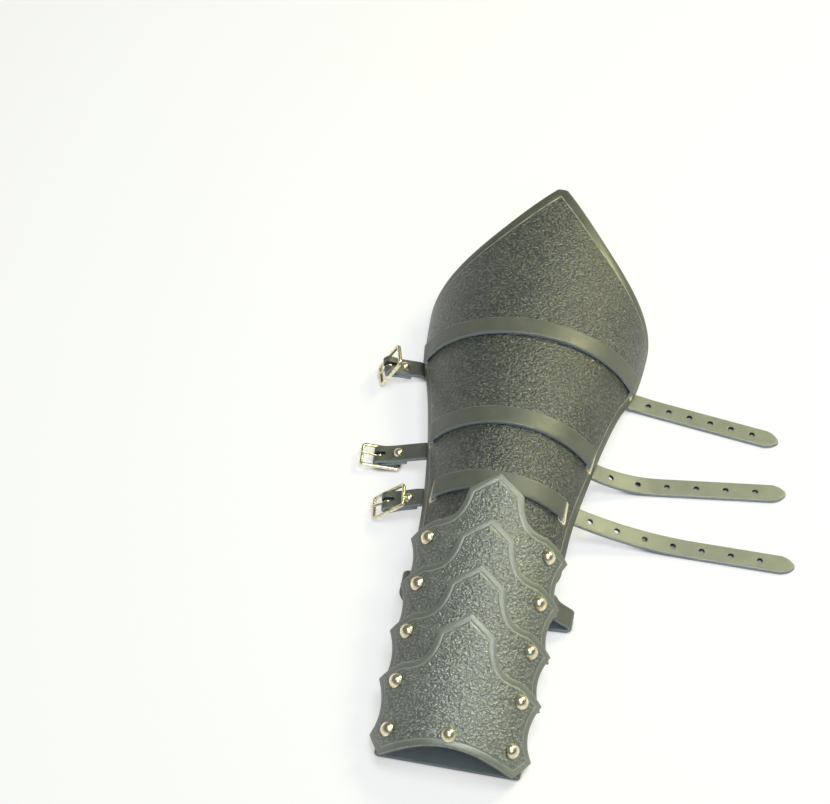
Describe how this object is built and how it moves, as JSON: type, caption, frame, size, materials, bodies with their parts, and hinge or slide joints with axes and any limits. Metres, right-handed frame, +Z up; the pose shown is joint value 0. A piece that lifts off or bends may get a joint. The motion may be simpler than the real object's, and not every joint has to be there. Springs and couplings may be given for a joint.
{
  "type": "articulated leather bracer",
  "caption": "Moulded leather forearm bracer with a pointed elbow end, riveted sliding hand plates and three buckled straps, lying open as when unworn.",
  "frame": {"origin": "on the table, under the crown line at the wrist, where the forearm channel's centre plane meets the ground plane", "axes": "+Y runs from the hand to the elbow along the channel, +Z is up from the table, +X is to the side where the strap tails come out"},
  "size_m": [0.2915, 0.4313, 0.0646],
  "materials": {
    "tooled_leather": "embossed, satin, worn lighter on the raised parts",
    "strap_leather": "smooth, satin, pale raw edges",
    "brass_fittings": "polished, pale"
  },
  "bodies": {
    "shell": {"forearm_shell": "tooled_leather", "upper_strap": "strap_leather", "middle_strap": "strap_leather", "wrist_strap": "strap_leather"},
    "plate_1": {"hand_plate_1": "tooled_leather", "plate_rivets_1": "brass_fittings", "palm_strap": "strap_leather"},
    "plate_2": {"hand_plate_2": "tooled_leather", "plate_rivets_2": "brass_fittings"},
    "plate_3": {"hand_plate_3": "tooled_leather", "plate_rivets_3": "brass_fittings"},
    "plate_4": {"hand_plate_4": "tooled_leather", "plate_rivets_4": "brass_fittings", "finger_strap": "strap_leather", "finger_strap_rivets": "brass_fittings"},
    "upper_tail": {"upper_strap_tail": "strap_leather"},
    "upper_tab": {"upper_buckle_tab": "strap_leather", "upper_tab_rivet": "brass_fittings"},
    "upper_frame": {"upper_buckle_frame": "brass_fittings"},
    "upper_prong": {"upper_buckle_prong": "brass_fittings"},
    "middle_tail": {"middle_strap_tail": "strap_leather"},
    "middle_tab": {"middle_buckle_tab": "strap_leather", "middle_tab_rivet": "brass_fittings"},
    "middle_frame": {"middle_buckle_frame": "brass_fittings"},
    "middle_prong": {"middle_buckle_prong": "brass_fittings"},
    "wrist_tail": {"wrist_strap_tail": "strap_leather"},
    "wrist_tab": {"wrist_buckle_tab": "strap_leather", "wrist_tab_rivet": "brass_fittings"},
    "wrist_frame": {"wrist_buckle_frame": "brass_fittings"},
    "wrist_prong": {"wrist_buckle_prong": "brass_fittings"}
  },
  "joints": [
    {"name": "plate_1_pivot", "type": "hinge", "parent": "shell", "child": "plate_1", "pos_m": [0, -0.04161, 0.03721], "axis": [1, 0, 0], "range_deg": [0, 4.5]},
    {"name": "plate_2_pivot", "type": "hinge", "parent": "plate_1", "child": "plate_2", "pos_m": [0, -0.07413, 0.03457], "axis": [1, 0, 0], "range_deg": [0, 10]},
    {"name": "plate_3_pivot", "type": "hinge", "parent": "plate_2", "child": "plate_3", "pos_m": [0, -0.10657, 0.03107], "axis": [1, 0, 0], "range_deg": [0, 10]},
    {"name": "plate_4_pivot", "type": "hinge", "parent": "plate_3", "child": "plate_4", "pos_m": [0, -0.13891, 0.02672], "axis": [1, 0, 0], "range_deg": [0, 10]},
    {"name": "upper_tail_bend", "type": "hinge", "parent": "shell", "child": "upper_tail", "pos_m": [0.07293, 0.117, 0.00216], "axis": [-0.1392, -0.9903, 0], "range_deg": [-50, 50]},
    {"name": "upper_tab_bend", "type": "hinge", "parent": "shell", "child": "upper_tab", "pos_m": [-0.07226, 0.1147, 0.00485], "axis": [-0.2756, 0.9613, 0], "range_deg": [-20, 30]},
    {"name": "upper_frame_swing", "type": "hinge", "parent": "upper_tab", "child": "upper_frame", "pos_m": [-0.09348, 0.10862, 0.01145], "axis": [-0.2756, 0.9613, 0], "range_deg": [-25, 40]},
    {"name": "upper_prong_swing", "type": "hinge", "parent": "upper_frame", "child": "upper_prong", "pos_m": [-0.09348, 0.10862, 0.01145], "axis": [-0.2756, 0.9613, 0], "range_deg": [0, 140]},
    {"name": "middle_tail_bend", "type": "hinge", "parent": "shell", "child": "middle_tail", "pos_m": [0.05693, 0.0465, 0.01281], "axis": [0.1305, -0.9914, 0], "range_deg": [-50, 50]},
    {"name": "middle_tab_bend", "type": "hinge", "parent": "shell", "child": "middle_tab", "pos_m": [-0.05668, 0.0415, 0.01389], "axis": [-0.0872, 0.9962, 0], "range_deg": [-45, 45]},
    {"name": "middle_frame_swing", "type": "hinge", "parent": "middle_tab", "child": "middle_frame", "pos_m": [-0.08593, 0.03894, 0.00384], "axis": [-0.0872, 0.9962, 0], "range_deg": [0, 35]},
    {"name": "middle_prong_swing", "type": "hinge", "parent": "middle_frame", "child": "middle_prong", "pos_m": [-0.08593, 0.03894, 0.00384], "axis": [-0.0872, 0.9962, 0], "range_deg": [0, 50]},
    {"name": "wrist_tail_bend", "type": "hinge", "parent": "shell", "child": "wrist_tail", "pos_m": [0.0527, 0.007, 0.01535], "axis": [0, -1, 0], "range_deg": [-50, 50]},
    {"name": "wrist_tab_bend", "type": "hinge", "parent": "shell", "child": "wrist_tab", "pos_m": [-0.05248, 0.003, 0.01632], "axis": [-0.1564, 0.9877, 0], "range_deg": [-45, 45]},
    {"name": "wrist_frame_swing", "type": "hinge", "parent": "wrist_tab", "child": "wrist_frame", "pos_m": [-0.07229, -0.00014, 0.00993], "axis": [-0.1564, 0.9877, 0], "range_deg": [-65, 0]},
    {"name": "wrist_prong_swing", "type": "hinge", "parent": "wrist_frame", "child": "wrist_prong", "pos_m": [-0.07229, -0.00014, 0.00993], "axis": [-0.1564, 0.9877, 0], "range_deg": [0, 130]}
  ]
}
